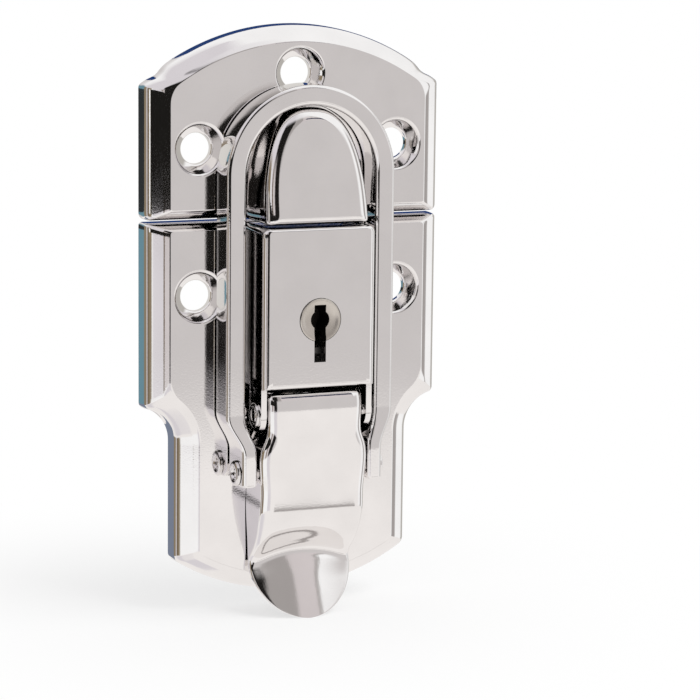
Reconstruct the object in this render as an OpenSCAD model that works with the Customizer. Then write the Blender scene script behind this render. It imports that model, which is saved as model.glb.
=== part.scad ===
// Draw latch with a key lock, in plated pressed steel, shown closed and unlocked.
// A keeper plate and a base plate are screwed to the two halves of a case. The thumb lever on the base
// plate pulls a draw loop, the bail, down over the keeper's boss, and a key drum locks the lever.
// Millimetres, +z up. The back faces of both plates lie on y = 0 and the front looks towards -y, so "rise"
// is the distance in front of the back plane. z = 0 is the lowest point of the base plate.

/* [Plates] */
// Height of the base plate
base_h = 64; // [62:0.5:70]
// Height of the keeper plate, up to the top of its arch
keeper_h = 32; // [30:0.5:36]
// Gap between the two plates
plate_gap = 1; // [0.4:0.1:2]
// Full width of both plates
plate_w = 52.8; // [50:0.2:60]
// Width of the base plate below its ogee
waist_w = 42.4; // [40:0.2:46]
// Height at which the ogee ends and the narrow part begins
waist_z = 27; // [24:0.5:30]
// Radius of the hollow in the ogee
ogee_r = 6; // [5:0.5:7]
// Radius of the keeper's arched top
arch_r = 40; // [36:0.5:46]
// Radius of the base plate's bottom edge
foot_r = 37; // [33:0.5:42]
// Thickness of the plates' sheet
sheet = 1; // [0.8:0.1:1.2]
// Rise of the plates' flat faces
plate_rise = 6; // [5.6:0.1:7]
// How far the flat is set in from the sides
skirt_inset = 3.7; // [3:0.1:4]

/* [Screw holes] */
// Diameter of the screw holes
hole_d = 5.2; // [4:0.1:5.6]
// Diameter of the dimples around them
dimple_d = 9.3; // [8:0.1:9.8]
// Depth of the dimples
dimple_depth = 2.75; // [2:0.05:3]
// Distance between the two holes of a pair
hole_span = 35.2; // [34:0.2:35.8]
// Height of the keeper's pair of holes above its lower edge
keeper_hole_z = 11.7; // [10:0.1:13]
// Distance of the keeper's single hole below the arch top
top_hole_drop = 8; // [7.6:0.1:9]
// Distance of the base plate's pair of holes below its upper edge
base_hole_drop = 12; // [8:0.5:16]
// Height of the base plate's single hole, under the lever
low_hole_z = 13.5; // [11:0.5:16]

/* [Keeper boss] */
// Width of the boss at its foot
boss_w = 16.8; // [15:0.2:17.4]
// Height of the boss
boss_h = 18.7; // [17.5:0.1:18.7]
// Rise of its face at the lower edge
boss_low_rise = 16.3; // [14:0.1:17]
// Rise of its face at the top
boss_high_rise = 12.6; // [12:0.1:14]

/* [Lock case] */
// Width of the case
case_w = 19.8; // [18:0.2:21]
// Height of the case without its ears
case_h = 26.6; // [26:0.1:27]
// Rise of the case's front
case_rise = 16.1; // [15.8:0.1:18]
// Thickness of the case's sheet
case_sheet = 1; // [0.8:0.1:1.1]
// Radius of the ears' round ends
ear_r = 2.8; // [2.5:0.1:3]
// Distance of the lever's pivot below the case
pivot_drop = 4.7; // [4.6:0.1:5.2]
// Rise of the lever's pivot
pivot_rise = 12; // [11.6:0.1:12.4]
// Diameter of the lever's pin
pin_d = 2.5; // [2:0.1:3]

/* [Lock] */
// Diameter of the key drum
drum_d = 7.26; // [6.6:0.02:8]
// Distance of the drum's axis below the top of the case
drum_drop = 15.1; // [14:0.1:16]
// Width of the key slot
slot_w = 2.05; // [1.6:0.05:2.4]
// Length of the key slot, from the drum's axis down
slot_l = 7.1; // [6:0.1:8]
// Diameter of the round middle of the keyway
keyway_d = 3.3; // [2.6:0.1:3.6]
// Throw radius of the pin that drives the slide
throw_r = 2.8; // [2.6:0.1:3]
// Diameter of that pin
drive_pin_d = 1.2; // [1:0.1:1.4]
// Thickness of the slide
slide_t = 1.2; // [1:0.1:1.3]

/* [Bail] */
// Width of the strip that the bail is pressed to
bail_strip = 3.4; // [2.8:0.1:3.6]
// Width of that strip at the ears
ear_strip = 2.6; // [2.6:0.1:3]
// Rise of the bail's front
bail_rise = 12.1; // [11.6:0.1:12.6]
// Gap between the bail and the plates' flat faces
bail_float = 0.6; // [0.5:0.1:1]
// Thickness of the bail's sheet
bail_sheet = 0.9; // [0.7:0.05:1]
// Room between the bail's legs and the lock case, each side
bail_side_gap = 1.6; // [1.5:0.1:2.4]
// Rise of the ears' front at the bail's lower ends
bail_ear_rise = 13.5; // [13:0.1:14]
// Distance of the bail's rivets below the lever's pivot
rivet_drop = 10; // [9.8:0.1:10.4]
// Rise of the bail's rivets
rivet_rise = 10.4; // [10:0.1:10.8]
// Diameter of the rivets
rivet_d = 2.4; // [2:0.1:2.8]

/* [Lever] */
// Rise of the lever's face at its upper edge
lever_rise = 15.2; // [15:0.1:15.6]
// Thickness of the lever's sheet
lever_sheet = 1; // [0.8:0.1:1.1]
// Distance of the lever's upper edge above its pivot
lever_top = 4.2; // [3.8:0.1:4.2]
// Distance of the fold above the lip, below the pivot
lever_fold = 24.7; // [24:0.1:26]
// Distance of the lip's tip below the pivot
lever_tip = 35.5; // [34:0.1:37]
// Rise of the lip's tip
lip_rise = 12.8; // [11:0.1:14]
// How much the middle of the lip stands proud of its sides
lip_crown = 0.5; // [0:0.1:0.8]
// How much lower the fold lies at the lever's sides than in its middle
fold_bow = 2; // [0:0.1:2.2]
// Width of the tongue that the lock catches
tongue_w = 8; // [6:0.2:8.4]
// Height of the tongue above the lever's pivot
tongue_h = 5; // [4.6:0.1:5]

/* [Hidden] */
$fn = 64;

// Clearances: a turning fit, a still fit, a moving gap and the play of the drive pin in its slot
run_fit = 0.06;
still_fit = 0.02;
move_gap = 0.3;
slot_play = 0.22;
// Overshoot of a cut past the face that it opens
over = 1;
// Set-back of an ear's faces from those of the wall that it grows from
blend = 0.03;

keeper_z = base_h + plate_gap;
keeper_top = keeper_z + keeper_h;
flat_back = plate_rise - sheet;
case_half = case_w / 2;
case_in = case_half - case_sheet;
case_low = base_h - case_h;
case_back = case_rise - case_sheet;
pivot_z = case_low - pivot_drop;
drum_z = base_h - drum_drop;
rivet_z = pivot_z - rivet_drop;

// Skirt of both plates, from the back edge to the flat: share of the inset, of the rise, lean of the sheet.
// The first and the last row lie past the back plane and the flat, which trim the skirt.
skirt = [[0, -0.2, 0], [0, 0.05, 0], [0.04, 0.4, 6], [0.14, 0.59, 30], [0.32, 0.71, 52], [0.7, 0.9, 60],
         [1.3, 1.1, 60]];
keeper_top_inset = 2.8;
keeper_low_inset = 1.6;
base_top_inset = 0.8;
foot_inset = 3.2;
corner_r = 1;
flat_corner_r = 4.5;
foot_corner_r = 1.6;
arc_steps = 6;
arch_steps = 20;
// Slight hollow in the arch beside each corner: depth, and where it lies in degrees past the corner
shoulder_dip = 0.5;
shoulder_at = 4;
shoulder_spread = 2.2;

// Edge roll of the boss and the case: inset of each ring and how far it lies below the front
boss_roll = [[0.12, 1.1], [0.3, 0.5], [0.6, 0.14], [1.05, 0]];
case_roll = [[0, 1], [0.12, 0.5], [0.5, 0.12], [1, 0]];
case_corner_r = 1.2;

// Bracket that carries the drum's tail, and the stack of the lock behind the case's front
bracket_t = 0.9;
bracket_in = case_in - bracket_t;
bracket_low = drum_z - 6;
bracket_h = 12;
bracket_front = case_back - 1.2;
flange_r = drum_d / 2 + 0.9;
flange_front = case_back - 0.15;
flange_back = bracket_front + move_gap;
shank_r = drum_d / 2 - 0.33;
slide_back = plate_rise + 2;
slide_front = slide_back + slide_t;
cam_back = slide_front + move_gap;
cam_t = 1;
cam_front = cam_back + cam_t;
cam_r = throw_r + drive_pin_d / 2 + 1;
tail_r = 1.5;
throw_start = 45;
throw_x = throw_r * cos(throw_start);
throw_z = throw_r * sin(throw_start);

// The slide hides behind the lever's tongue: its nose clears the tongue when it is up
slide_nose_z = pivot_z + tongue_h + 2.6;
slide_half = bracket_in - 0.2;
nose_half = tongue_w / 2 + 0.5;
tongue_front = pivot_rise - 1.5;
tongue_back = tongue_front - lever_sheet;

// Leaf spring behind the slide
leaf_t = 0.4;
leaf_w = 5;
leaf_x = -4;
leaf_rivet_z = base_h - 3.2;
leaf_len = 17;
leaf_tab = 2;
leaf_rivet_r = 0.8;

// Half widths of the lever and the bail follow the lock case
neck_half = case_in - 0.4;
lever_half = case_half - 0.3;
bail_ear_in = lever_half + move_gap;
bail_in = case_half + bail_side_gap;
bail_out = bail_in + bail_strip;
bail_back = plate_rise + bail_float;
bail_top_in = keeper_z + boss_h + 0.4;
bail_centre_z = bail_top_in - bail_in;
jog_top = pivot_z - 0.2;
jog_low = rivet_z + 3.4;
ear_end = rivet_z - 2.1;
ear_back_r = 3;
jog_steps = 8;
bail_steps = 36;
edge_r = 0.7;

// Steel tints
bright = [0.8, 0.79, 0.78];
dull = [0.68, 0.67, 0.64];
brassy = [0.72, 0.66, 0.5];

// Points on an arc about c, from angle a0 to a1
function arc(c, r, a0, a1, n) =
    [for (i = [0:n]) let (a = a0 + (a1 - a0) * i / n) [c[0] + r * cos(a), c[1] + r * sin(a)]];
// A half outline and its mirror image about x = 0
function mirrored(half) = concat(half, [for (i = [len(half) - 1:-1:0]) [-half[i][0], half[i][1]]]);
// A front-view outline at one rise
function at_rise(outline, rise) = [for (p = outline) [p[0], -rise, p[1]]];
function mix(a, b, t) = a + (b - a) * t;
function smooth(t) = t * t * (3 - 2 * t);
// Value at u on a smooth curve through a table of [u, value] rows
function table_slope(table, i) =
    let (a = table[max(0, i - 1)], b = table[min(len(table) - 1, i + 1)]) (b[1] - a[1]) / (b[0] - a[0]);
function table_value(table, u, i = 0) =
    u <= table[0][0] ? table[0][1]
    : i >= len(table) - 1 ? table[len(table) - 1][1]
    : u > table[i + 1][0] ? table_value(table, u, i + 1)
    : let (step = table[i + 1][0] - table[i][0], t = (u - table[i][0]) / step)
      mix(table[i][1], table[i + 1][1], smooth(t))
      + step * t * (1 - t) * ((1 - t) * table_slope(table, i) - t * table_slope(table, i + 1));

// Closed solid through a row of rings with the same number of points. An end that isn't convex is closed
// by the faces that cap lists.
module loft(rings, cap = undef) {
    count = len(rings[0]);
    last = len(rings) - 1;
    points = [for (ring = rings) for (p = ring) p];
    sides = [for (r = [0:last - 1]) for (i = [0:count - 1])
        let (a = r * count + i, b = r * count + (i + 1) % count)
        each [[a, b + count, b], [a, a + count, b + count]]];
    first_cap = is_undef(cap) ? [[for (i = [0:count - 1]) i]] : cap;
    last_cap = [for (face = first_cap) [for (i = [len(face) - 1:-1:0]) last * count + face[i]]];
    polyhedron(points = points, faces = concat(sides, first_cap, last_cap));
}

// Front-view shape pushed from one rise to another
module from_rise(low, high) {
    translate([0, -low, 0]) rotate([90, 0, 0]) linear_extrude(high - low) children();
}

// Side-view shape, drawn as [-rise, z], pushed along x
module along_x(x0, x1) {
    translate([x0, 0, 0]) rotate([90, 0, 90]) linear_extrude(x1 - x0) children();
}

module rod_x(x0, x1, r, rise, z) {
    translate([x0, -rise, z]) rotate([0, 90, 0]) cylinder(r = r, h = x1 - x0);
}

module rod_y(low, high, r, x, z) {
    translate([x, -low, z]) rotate([90, 0, 0]) cylinder(r = r, h = high - low);
}

module turned_y(x, z) {
    translate([x, 0, z]) rotate([90, 0, 0]) rotate_extrude() children();
}

module block(x0, x1, low, high, z0, z1) {
    translate([x0, -high, z0]) cube([x1 - x0, high - low, z1 - z0]);
}

// Pressed tray with open back: its outer form up to the flat, and the hollow behind its sheet. The children
// are the outer form's own additions, which the hollow cuts too.
module tray(outer, inner) {
    difference() {
        union() {
            intersection() {
                loft(outer);
                block(-plate_w, plate_w, 0, plate_rise, -over, keeper_top + over);
            }
            children();
        }
        intersection() {
            loft(inner);
            block(-plate_w, plate_w, -plate_rise, flat_back, -over, keeper_top + over);
        }
    }
}

// Outline of the keeper: k runs from the back edge (0) to the flat (1), e is a further inset for the inside
function keeper_half(k, e) =
    let (half = plate_w / 2 - skirt_inset * k - e,
         r = arch_r - keeper_top_inset * k - e,
         centre_z = keeper_top - arch_r,
         f = mix(corner_r, flat_corner_r, k * k),
         fillet_z = centre_z + sqrt(pow(r - f, 2) - pow(half - f, 2)),
         a = atan2(fillet_z - centre_z, half - f))
    concat([[half, keeper_z + keeper_low_inset * k + e]],
           arc([half - f, fillet_z], f, 0, a, arc_steps),
           [for (i = [0:arch_steps - 1])
               let (t = mix(a, 90, (i + 0.5) / arch_steps),
                    dip = shoulder_dip * (1 - k) * exp(-pow((t - a - shoulder_at) / shoulder_spread, 2)))
               [(r - dip) * cos(t), centre_z + (r - dip) * sin(t)]]);

// Outline of the base plate, from the middle of its foot up to its upper corner
function base_half(k, e) =
    let (half = plate_w / 2 - skirt_inset * k - e,
         waist = waist_w / 2 - skirt_inset * k - e,
         foot = foot_r - foot_inset * k - e,
         foot_z = foot_r - sqrt(pow(foot - foot_corner_r, 2) - pow(waist - foot_corner_r, 2)),
         foot_a = atan2(foot_z - foot_r, waist - foot_corner_r),
         hollow = ogee_r + skirt_inset * k + e,
         hollow_x = waist_w / 2 + ogee_r,
         f = mix(corner_r, flat_corner_r, k * k),
         fillet_z = waist_z + sqrt(pow(hollow + f, 2) - pow(hollow_x - half + f, 2)),
         hollow_a = atan2(fillet_z - waist_z, half - f - hollow_x))
    concat([for (i = [0:arch_steps / 2 - 1])
               let (t = mix(-90, foot_a, (i + 0.5) / (arch_steps / 2)))
               [foot * cos(t), foot_r + foot * sin(t)]],
           arc([waist - foot_corner_r, foot_z], foot_corner_r, foot_a, 0, arc_steps),
           arc([hollow_x, waist_z], hollow, 180, hollow_a, arc_steps + 2),
           arc([half - f, fillet_z], f, hollow_a - 180, 0, arc_steps),
           [[half, base_h - base_top_inset * k - e]]);

// Back of a dimple, and the cut that makes its countersunk front and its hole
module dimple_back(x, z) {
    back = plate_rise - dimple_depth - sheet * 0.9;
    turned_y(x, z) polygon([[0, back], [hole_d / 2 + sheet * 0.8, back],
                            [dimple_d / 2 + sheet * 0.75, plate_rise - sheet * 0.9],
                            [dimple_d / 2 + sheet * 0.75, plate_rise - sheet * 0.5],
                            [0, plate_rise - sheet * 0.5]]);
}

module dimple_cut(x, z) {
    rim = dimple_d / 2;
    throat = hole_d / 2;
    turned_y(x, z) polygon([[0, -over], [throat, -over], [throat, plate_rise - dimple_depth],
                            [throat + 0.25, plate_rise - dimple_depth + 0.12],
                            [rim - 0.5, plate_rise - 0.62], [rim - 0.1, plate_rise - 0.25],
                            [rim + 0.22, plate_rise - 0.06], [rim + 0.6, plate_rise + 0.01],
                            [rim + 0.6, plate_rise + over], [0, plate_rise + over]]);
}

keeper_holes = [[-hole_span / 2, keeper_z + keeper_hole_z], [hole_span / 2, keeper_z + keeper_hole_z],
                [0, keeper_top - top_hole_drop]];
base_holes = [[-hole_span / 2, base_h - base_hole_drop], [hole_span / 2, base_h - base_hole_drop],
              [0, low_hole_z]];

// Bullet-shaped outline of the boss, set in by e
boss_steps = 14;
boss_low_roll = 1.1;
function boss_half(e) =
    let (low_z = keeper_z + 2 * blend + e * boss_low_roll, top_z = keeper_z + boss_h - e)
    [for (i = [0:boss_steps - 1]) let (a = 90 * i / (boss_steps - 0.5))
        [(boss_w / 2 - e) * cos(a), mix(low_z, top_z, sin(a))]];
function boss_front(z) = mix(boss_low_rise, boss_high_rise, (z - keeper_z) / boss_h);
function boss_ring(e, below) = [for (p = mirrored(boss_half(e))) [p[0], -(boss_front(p[1]) - below), p[1]]];

// Upper plate, one pressing with the ramp-shaped boss that the bail hooks over
module keeper_plate() {
    wall_half = boss_w / 2 + 0.4;
    wall_top = keeper_z + keeper_low_inset - 0.2;
    color(bright) difference() {
        union() {
            tray([for (s = skirt) at_rise(mirrored(keeper_half(s[0], 0)), s[1] * plate_rise)],
                 [for (s = skirt) at_rise(mirrored(keeper_half(s[0], sheet * cos(s[2]))),
                                          s[1] * plate_rise - sheet * sin(s[2]))]) {
                loft(concat([at_rise(mirrored(boss_half(0)), plate_rise - sheet / 2)],
                            [for (b = boss_roll) boss_ring(b[0], b[1])]));
                block(-wall_half, wall_half, blend, plate_rise - blend, keeper_z + blend, wall_top);
            }
            for (h = keeper_holes) dimple_back(h[0], h[1]);
        }
        loft(concat([at_rise(mirrored(boss_half(sheet)), plate_rise / 2 - sheet / 2)],
                    [for (b = boss_roll) boss_ring(b[0] + sheet * 0.9, b[1] + sheet)]));
        for (h = keeper_holes) dimple_cut(h[0], h[1]);
    }
}

// Where tabs pass through the base plate: x of the tab's inner side, its height and its length
tab_l = 4;
case_tabs = [[case_in, case_low + 4], [case_in, base_h - 6.5]];
bracket_tab_z = drum_z - tab_l / 2;
tab_foot = 2;
tab_stub = 0.5;

// Lower plate, with slots for the tabs of the case and the bracket
module base_plate() {
    color(bright) difference() {
        union() {
            tray([for (s = skirt) at_rise(mirrored(base_half(s[0], 0)), s[1] * plate_rise)],
                 [for (s = skirt) at_rise(mirrored(base_half(s[0], sheet * cos(s[2]))),
                                          s[1] * plate_rise - sheet * sin(s[2]))]);
            for (h = base_holes) dimple_back(h[0], h[1]);
        }
        for (h = base_holes) dimple_cut(h[0], h[1]);
        for (side = [0, 1]) mirror([side, 0, 0]) {
            for (t = case_tabs)
                block(t[0] - still_fit, t[0] + case_sheet + still_fit, flat_back - over, plate_rise + over,
                      t[1] - still_fit, t[1] + tab_l + still_fit);
            block(bracket_in - still_fit, case_in - still_fit * 2, flat_back - over, plate_rise + over,
                  bracket_tab_z - still_fit, bracket_tab_z + tab_l + still_fit);
        }
        rod_y(flat_back - over, plate_rise + over, leaf_rivet_r + still_fit, leaf_x, leaf_rivet_z);
    }
}

function case_outline(e, low) =
    mirrored(concat([[case_half - e, low]],
                    arc([case_half - case_corner_r, base_h - case_corner_r], max(case_corner_r - e, 0.15),
                        0, 88, arc_steps)));

// Pressed box of the lock: its walls run down into ears for the lever's pin, and tabs clinch it to the plate
module lock_case() {
    ear_top = case_low + 2;
    color(bright) {
        difference() {
            union() {
                loft(concat([at_rise(case_outline(0, case_low), plate_rise)],
                            [for (c = case_roll) at_rise(case_outline(c[0], case_low), case_rise - c[1])]));
                for (side = [0, 1]) mirror([side, 0, 0]) along_x(case_in + blend, case_half - blend) {
                    translate([-pivot_rise, pivot_z]) circle(r = ear_r);
                    translate([-pivot_rise - ear_r, pivot_z]) square([ear_r * 2, ear_top - pivot_z]);
                }
            }
            loft(concat([at_rise(case_outline(case_sheet, case_low - over), plate_rise - over)],
                        [for (c = case_roll)
                            at_rise(case_outline(case_sheet + c[0] * 0.4, case_low - over),
                                    case_back - c[1] * 0.4)]));
            rod_y(case_back - over, case_rise + over, drum_d / 2 + run_fit, 0, drum_z);
            block(-slot_w / 2, slot_w / 2, case_back - over, case_rise + over, drum_z - slot_l, drum_z);
            rod_x(-case_w, case_w, pin_d / 2 + still_fit, pivot_rise, pivot_z);
        }
        for (side = [0, 1]) mirror([side, 0, 0]) for (t = case_tabs) {
            block(t[0] + blend, t[0] + case_sheet - blend, flat_back - case_sheet, plate_rise + over,
                  t[1], t[1] + tab_l);
            block(t[0] + blend, t[0] + case_sheet + tab_foot, flat_back - case_sheet, flat_back,
                  t[1], t[1] + tab_l);
        }
    }
}

// U-shaped bracket inside the case: it carries the drum's shank, and the key's bit passes its notch
module ward_bracket() {
    bracket_back = bracket_front - bracket_t;
    color(dull) {
        difference() {
            block(-case_in, case_in, plate_rise, bracket_front, bracket_low, bracket_low + bracket_h);
            block(-bracket_in, bracket_in, plate_rise - over, bracket_back,
                  bracket_low - over, bracket_low + bracket_h + over);
            rod_y(bracket_back - over, bracket_front + over, shank_r + run_fit, 0, drum_z);
            block(-slot_w / 2, slot_w / 2, bracket_back - over, bracket_front + over, drum_z - 5, drum_z);
        }
        for (side = [0, 1]) mirror([side, 0, 0])
            block(bracket_in, case_in - still_fit * 3, flat_back - tab_stub, plate_rise + over,
                  bracket_tab_z, bracket_tab_z + tab_l);
    }
}

// Turned drum: dished face with a bevelled rim, flange behind the case's front, shank and tail
module key_drum() {
    r = drum_d / 2;
    keyway_top = 2.5;
    keyway_lean = 9;
    keyway_back = cam_front + 0.6;
    color(brassy) difference() {
        turned_y(0, drum_z) polygon([[0, cam_back - 0.2], [tail_r - 0.2, cam_back - 0.2], [tail_r, cam_back],
                                     [tail_r, cam_front], [shank_r, cam_front], [shank_r, flange_back],
                                     [flange_r, flange_back], [flange_r, flange_front], [r, flange_front],
                                     [r, case_rise - 0.05], [r - 0.2, case_rise + 0.15],
                                     [r - 0.55, case_rise + 0.15], [r - 1.1, case_rise - 0.1],
                                     [0, case_rise - 0.2]]);
        rod_y(keyway_back, case_rise + over, keyway_d / 2, 0, drum_z);
        translate([0, 0, drum_z]) {
            rotate([0, keyway_lean, 0])
                block(-slot_w / 2, slot_w / 2, keyway_back, case_rise + over, 0, keyway_top);
            rotate([0, -keyway_lean, 0])
                block(-slot_w / 2, slot_w / 2, keyway_back, case_rise + over, -drum_d, 0);
        }
    }
}

// Stamped disc on the drum's tail
module drive_cam() {
    color(dull) difference() {
        rod_y(cam_back, cam_front, cam_r, 0, drum_z);
        rod_y(cam_back - over, cam_front + over, tail_r + still_fit, 0, drum_z);
        rod_y(cam_back - over, cam_front + over, drive_pin_d / 2 + still_fit, throw_x, drum_z + throw_z);
    }
}

// Pin in the cam that reaches through the slide
module drive_pin() {
    color(dull) rod_y(slide_back - 0.3, cam_front, drive_pin_d / 2, throw_x, drum_z + throw_z);
}

// Bolt of the lock: the drive pin moves it down until its nose stands behind the lever's tongue
module lock_slide() {
    shoulder_z = slide_nose_z + 5;
    top_z = drum_z + throw_z + 6.5;
    pin_r = drive_pin_d / 2;
    nose_bevel = 0.8;
    color(dull) difference() {
        from_rise(slide_back, slide_front)
            polygon([[-nose_half + nose_bevel, slide_nose_z], [nose_half - nose_bevel, slide_nose_z],
                     [nose_half, slide_nose_z + nose_bevel], [nose_half, shoulder_z],
                     [slide_half, shoulder_z], [slide_half, top_z], [-slide_half, top_z],
                     [-slide_half, shoulder_z], [-nose_half, shoulder_z],
                     [-nose_half, slide_nose_z + nose_bevel]]);
        block(throw_x - pin_r - slot_play, throw_r + pin_r + slot_play, slide_back - over, slide_front + over,
              drum_z + throw_z - pin_r - slot_play, drum_z + throw_z + pin_r + slot_play);
    }
}

// Leaf spring that presses on the slide's back and keeps it up or down
function leaf_bow(z) =
    let (t = (leaf_rivet_z - leaf_tab - z) / (leaf_len - leaf_tab)) t <= 0 ? 0 : sin(180 * min(1, t * 0.96));
module detent_spring() {
    steps = 24;
    bow = slide_back - move_gap - leaf_t - plate_rise - still_fit;
    rises = [for (i = [0:steps]) let (z = leaf_rivet_z + leaf_tab - (leaf_len + leaf_tab) * i / steps)
        [-(plate_rise + bow * leaf_bow(z)), z]];
    color(dull) difference() {
        along_x(leaf_x - leaf_w / 2, leaf_x + leaf_w / 2)
            polygon(concat(rises, [for (i = [steps:-1:0]) [rises[i][0] - leaf_t, rises[i][1]]]));
        rod_y(plate_rise - over, plate_rise + over, leaf_rivet_r + still_fit, leaf_x, leaf_rivet_z);
    }
}

// Rivet that holds the leaf spring to the base plate
module spring_rivet() {
    head_r = leaf_rivet_r * 1.9;
    head_t = 0.6;
    color(dull) {
        rod_y(flat_back - head_t, plate_rise + leaf_t + head_t, leaf_rivet_r, leaf_x, leaf_rivet_z);
        rod_y(flat_back - head_t, flat_back, head_r, leaf_x, leaf_rivet_z);
        rod_y(plate_rise + leaf_t, plate_rise + leaf_t + head_t, head_r, leaf_x, leaf_rivet_z);
    }
}

// Pivot pin of the lever, headed over both ears, with a turned ring on each head
module lever_pin() {
    r = pin_d / 2;
    head_r = r + 0.85;
    head_t = 0.45;
    color(bright) {
        rod_x(-case_half, case_half, r, pivot_rise, pivot_z);
        for (side = [0, 1]) mirror([side, 0, 0])
            translate([case_half, -pivot_rise, pivot_z]) rotate([0, 90, 0]) rotate_extrude()
                polygon([[0, -0.3], [r, -0.3], [r, 0], [head_r, 0], [head_r, head_t * 0.6],
                         [head_r - 0.25, head_t], [head_r - 0.6, head_t], [head_r - 0.8, head_t * 0.55],
                         [head_r - 1, head_t], [0, head_t]]);
    }
}

// Lever, by distance u below the pivot: rise of the face, half width and rise of the flanges' back edge
fold_rise = plate_rise + 1.95;
lip_root = lever_fold + 2.2;
crease_u = lever_fold - 8.2;
crease_rise = lever_rise - 1;
lip_slope = (lip_rise - fold_rise) / (lever_tip - lever_fold);
face_table = [[-lever_top, lever_rise - 1.7], [-lever_top + 0.35, lever_rise - 0.75],
              [-lever_top + 1, lever_rise - 0.2], [-lever_top + 2, lever_rise],
              [7, lever_rise - 0.4], [crease_u, crease_rise],
              [mix(crease_u, lever_fold, 0.35), mix(crease_rise, fold_rise, 0.22)],
              [mix(crease_u, lever_fold, 0.75), mix(crease_rise, fold_rise, 0.76)],
              [lever_fold - 0.5, fold_rise + 0.1], [lever_fold + 0.5, fold_rise + 0.1],
              [lever_fold + 2.5, fold_rise + 2.5 * lip_slope], [lever_tip, lip_rise]];
half_table = [[0, neck_half], [3.2, neck_half], [5.8, lever_half - 0.25], [7.8, lever_half],
              [14, lever_half - 0.35], [lever_fold - 8, lever_half - 0.25], [lever_fold, lever_half - 0.5],
              [lip_root, lever_half - 0.5]];
back_table = [[-lever_top, pivot_rise + 0.9], [-1, pivot_rise - 3], [3, pivot_rise - 4],
              [8, plate_rise + 1], [lever_fold - 2, plate_rise + 1], [lever_fold, plate_rise + 0.8]];
lip_half = lever_half - 0.5;

function lever_face(u) = table_value(face_table, u);
function lever_width(u) =
    u <= lip_root ? table_value(half_table, u)
    : max(0.6, lip_half * sqrt(max(0, 1 - pow((u - lip_root) / (lever_tip - lip_root), 2))));
// The sheet measured level: a sloping stretch is thicker that way
function level_sheet(u) =
    let (slope = (lever_face(u + 0.2) - lever_face(u - 0.2)) / 0.4)
    lever_sheet * min(1.5, sqrt(1 + slope * slope));
function in_lip(u) = smooth(min(1, max(0, (u - lever_fold - 0.2) / 2.7)));
function lip_bulge(u) = lip_crown * smooth(min(1, max(0, (u - lever_fold) / 5)));
function bow(u) = fold_bow * smooth(min(1, max(0, (u - crease_u) / (lever_fold - crease_u))));
// Rise of the face at a distance x from the middle, and the sheet behind it
function face_at(u, x) =
    let (share = pow(x / lip_half, 2)) lever_face(u - bow(u) * share) - lip_bulge(u) * share;
function inner_at(u, x) = face_at(u, x) - level_sheet(u - bow(u) * pow(x / lip_half, 2));

// Level section of the lever: face with rounded edges, flanges, and the same again on the inner side
function lever_ring(u) =
    let (w = lever_width(u), lip = in_lip(u), f = face_at(u, w), inner = inner_at(u, w),
         back = min(table_value(back_table, u), inner),
         flange = mix(back, inner, lip), tf = min(lever_sheet, w * 0.5),
         round = min(mix(1.5, min(0.4, w * 0.3), lip), (f - flange) * 0.8),
         face_x = [1, 0.66, 0.33, 0, -0.33, -0.66, -1],
         span = w - round, inner_span = w - max(round, tf * 1.3),
         rim = mix(f, face_at(u, span), 0.7) - round * 0.29, rim_x = w - round * 0.29,
         outer = concat([[w, flange], [w, f - round], [rim_x, rim]],
                        [for (s = face_x) [span * s, face_at(u, span * s)]],
                        [[-rim_x, rim], [-w, f - round], [-w, flange]]),
         edge = mix(tf, tf * 0.3, lip),
         bend = mix(0.5, 0.02, lip),
         inside = concat([[-w + edge, flange], [-w + tf, inner - bend], [-w + tf * 1.15, inner - bend * 0.3]],
                         [for (i = [6:-1:0]) let (x = inner_span * face_x[i]) [x, inner_at(u, x)]],
                         [[w - tf * 1.15, inner - bend * 0.3], [w - tf, inner - bend], [w - edge, flange]]))
    [for (p = concat(outer, inside)) [p[0], -p[1], pivot_z - u]];

// Ends of the lever's channel: a strip between the outer and the inner side of the section
lever_last = len(lever_ring(0)) - 1;
lever_cap = [for (i = [0:(lever_last - 3) / 2]) [i, i + 1, lever_last - 1 - i, lever_last - i]];

// Stations along the lever, closer together where it bends
lever_stations = concat([for (s = [0, 0.35, 0.7, 1.2, 2]) s - lever_top],
                        [0, 1.5, 3.2, 4, 4.9, 5.8, 6.8, 7.8, 9.5, 12, 14],
                        [for (s = [-8.2, -7, -5.6, -4.2, -2.8, -1.6, -0.8, 0, 0.8, 1.5]) lever_fold + s],
                        [for (i = [0:7]) mix(lip_root, lever_tip, sin(90 * (i + 0.3) / 7.4))]);

// Thumb lever: pressed channel with a turned-out lip, a rolled top edge and a tongue for the lock
module lever() {
    web_z = pivot_z + lever_top - lever_sheet - 0.25;
    color(bright) difference() {
        union() {
            loft([for (u = lever_stations) lever_ring(u)], lever_cap);
            block(-tongue_w / 2, tongue_w / 2, tongue_back, lever_rise - lever_sheet - 0.4,
                  web_z, web_z + lever_sheet);
            block(-tongue_w / 2, tongue_w / 2, tongue_back, tongue_front, web_z, pivot_z + tongue_h);
        }
        rod_x(-case_half, case_half, pin_d / 2 + run_fit, pivot_rise, pivot_z);
        rod_x(-case_w, case_w, rivet_d / 2 + still_fit, rivet_rise, rivet_z);
    }
}

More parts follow.
